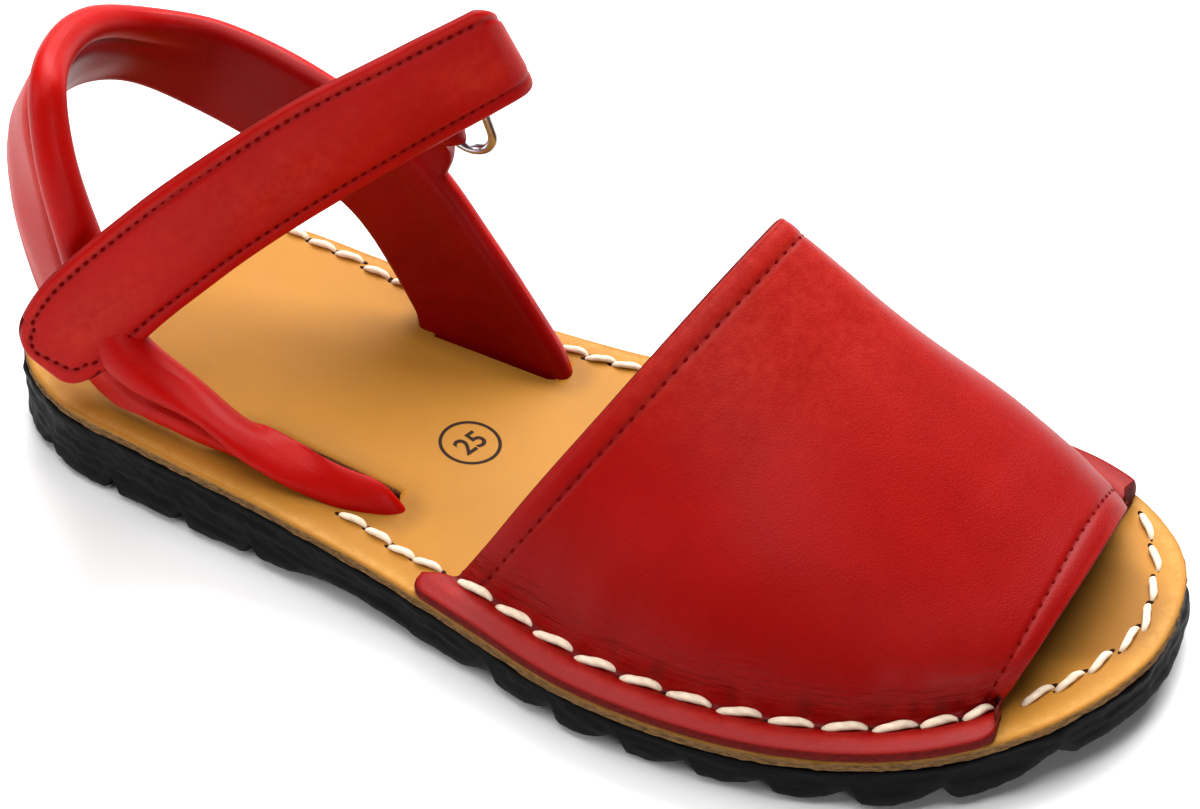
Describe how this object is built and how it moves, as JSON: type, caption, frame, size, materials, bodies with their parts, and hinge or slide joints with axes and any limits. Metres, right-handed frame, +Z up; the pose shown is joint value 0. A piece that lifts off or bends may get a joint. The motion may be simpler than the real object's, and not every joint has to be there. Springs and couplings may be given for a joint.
{
  "type": "sandal",
  "caption": "Child's open-toed leather sandal, right foot: arched red vamp, padded heel strap and ankle strap through a metal ring, tan footbed and lugged rubber sole.",
  "frame": {"origin": "on the floor, under the middle of the sandal's box", "axes": "+Z up, -Y towards the toe, +Y towards the heel, +X towards the medial side of the right foot"},
  "size_m": [0.0772, 0.172, 0.0689],
  "materials": {
    "sole_rubber": "black moulded rubber, matt, with a fine ribbed side",
    "footbed_leather": "tan vegetable-tanned leather, smooth and slightly waxed, with a raw cut edge",
    "upper_leather": "red smooth calf leather, semi-gloss",
    "ring_steel": "polished nickel-plated wire"
  },
  "bodies": {
    "root": {"outsole": "sole_rubber", "footbed": "footbed_leather", "vamp": "upper_leather", "heel_and_ankle_straps": "upper_leather", "ring": "ring_steel"}
  },
  "joints": []
}
